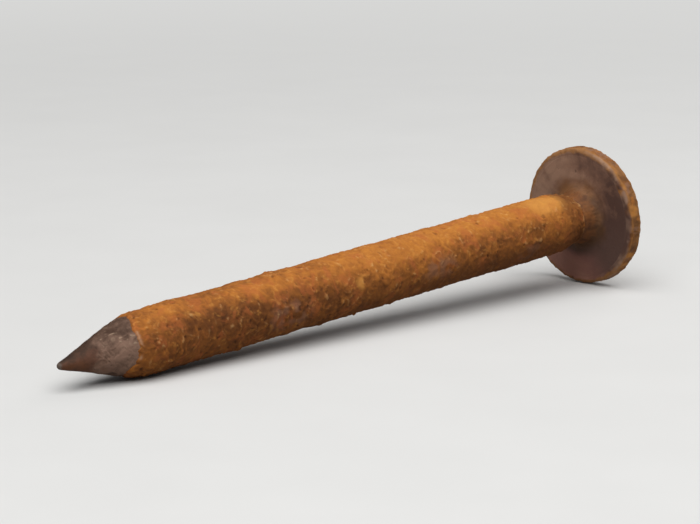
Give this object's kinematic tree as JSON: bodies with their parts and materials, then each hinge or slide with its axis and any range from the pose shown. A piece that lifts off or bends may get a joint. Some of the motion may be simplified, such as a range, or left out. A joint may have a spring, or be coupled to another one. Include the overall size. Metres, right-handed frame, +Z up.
{
  "type": "tent stake",
  "caption": "Rusted round steel tent stake with a conical point and a flat disc head, for hammering into the ground and holding a guy line.",
  "frame": {"origin": "on level ground, under the middle of the lying stake's bounding box", "axes": "+Z is up and +X runs along the ground from the point to the head. The stake's own axis lies in the XZ plane and climbs 4.03 degrees towards the head"},
  "size_m": [0.2594, 0.0528, 0.0529],
  "materials": {
    "bare_steel": "dull grey-brown steel with a thin stain of rust",
    "head_steel": "smooth purple-brown patina, mottled",
    "rusty_weld": "rough orange-brown rust over weld metal",
    "plug_weld": "weld metal hammered flat, worn and stained with rust",
    "rust_crust": "thick, lumpy, matt orange-brown rust",
    "rim_scale": "chipped ochre and orange rust scale"
  },
  "bodies": {
    "root": {"shank_bar": "bare_steel", "head_disc": "head_steel", "neck_fillet_weld": "rusty_weld", "head_plug_weld": "plug_weld", "shank_rust_scale": "rust_crust", "rim_rust_scale": "rim_scale"}
  },
  "joints": []
}
